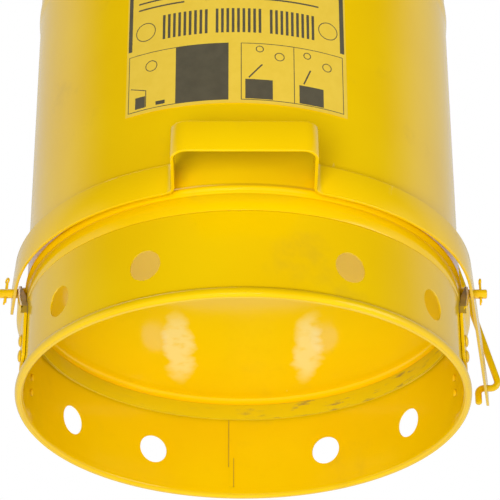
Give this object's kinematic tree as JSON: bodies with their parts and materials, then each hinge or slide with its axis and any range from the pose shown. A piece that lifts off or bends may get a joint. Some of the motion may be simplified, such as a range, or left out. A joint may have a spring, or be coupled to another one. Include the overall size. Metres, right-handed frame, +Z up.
{
  "type": "oily waste can",
  "caption": "Round steel oily waste can with a domed self-closing lid on a rear hinge, a front pedal yoke on side pivots, a push rod to the lid and a vented raised base.",
  "frame": {"origin": "on the floor under the middle of the whole object's plan box; the can's own centre line is at X -11.9 mm, Y +13.2 mm", "axes": "+Z up, the pedal tab and label face -Y, the lid hinge is at +Y, the push rod is on the +X side"},
  "size_m": [0.355, 0.3684, 0.403],
  "materials": {
    "yellow_coat": "glossy yellow powder coat over sheet steel",
    "coated_hardware": "glossy yellow coat over rivets, pins, cotters and the hinge shaft",
    "label_film": "printed film, satin"
  },
  "bodies": {
    "root": {"base_skirt": "yellow_coat", "body_hinge_bracket": "yellow_coat", "body_shell": "yellow_coat", "bottom_pan": "yellow_coat", "bracket_rivet_left_1": "coated_hardware", "bracket_rivet_left_2": "coated_hardware", "bracket_rivet_left_3": "coated_hardware", "bracket_rivet_left_4": "coated_hardware", "bracket_rivet_right_1": "coated_hardware", "bracket_rivet_right_2": "coated_hardware", "bracket_rivet_right_3": "coated_hardware", "bracket_rivet_right_4": "coated_hardware", "front_label": "label_film", "hinge_rivet_1": "coated_hardware", "hinge_rivet_2": "coated_hardware", "hinge_rivet_3": "coated_hardware", "hinge_rivet_4": "coated_hardware", "pivot_bracket_left": "yellow_coat", "pivot_bracket_right": "yellow_coat", "pivot_cotter_left": "coated_hardware", "pivot_cotter_right": "coated_hardware", "pivot_pin_left": "coated_hardware", "pivot_pin_right": "coated_hardware"},
    "lid": {"lid_cover": "yellow_coat", "lid_hinge_strap": "yellow_coat", "lid_crank": "yellow_coat", "hinge_shaft": "coated_hardware", "shaft_cotter": "coated_hardware", "lid_rivet_1": "coated_hardware", "lid_rivet_2": "coated_hardware", "lid_rivet_3": "coated_hardware", "lid_rivet_4": "coated_hardware"},
    "pedal": {"pedal_yoke": "yellow_coat"},
    "rod": {"linkage_rod": "yellow_coat", "rod_washer": "coated_hardware", "rod_cotter": "coated_hardware"}
  },
  "joints": [
    {"name": "lid_hinge", "type": "hinge", "parent": "root", "child": "lid", "pos_m": [-0.01193, 0.17625, 0.366], "axis": [-1, 0, 0], "range_deg": [0, 60]},
    {"name": "pedal_pivot", "type": "hinge", "parent": "root", "child": "pedal", "pos_m": [-0.01193, 0.01325, 0.085], "axis": [1, 0, 0], "range_deg": [0, 11.8]},
    {"name": "rod_pivot", "type": "hinge", "parent": "pedal", "child": "rod", "pos_m": [0.16675, 0.15525, 0.085], "axis": [1, 0, 0], "range_deg": [-12.5, 0]}
  ],
  "couplings": [
    {"joint": "pedal_pivot", "follows": "lid_hinge", "ratio": 0.1962},
    {"joint": "rod_pivot", "follows": "lid_hinge", "ratio": -0.2069}
  ]
}
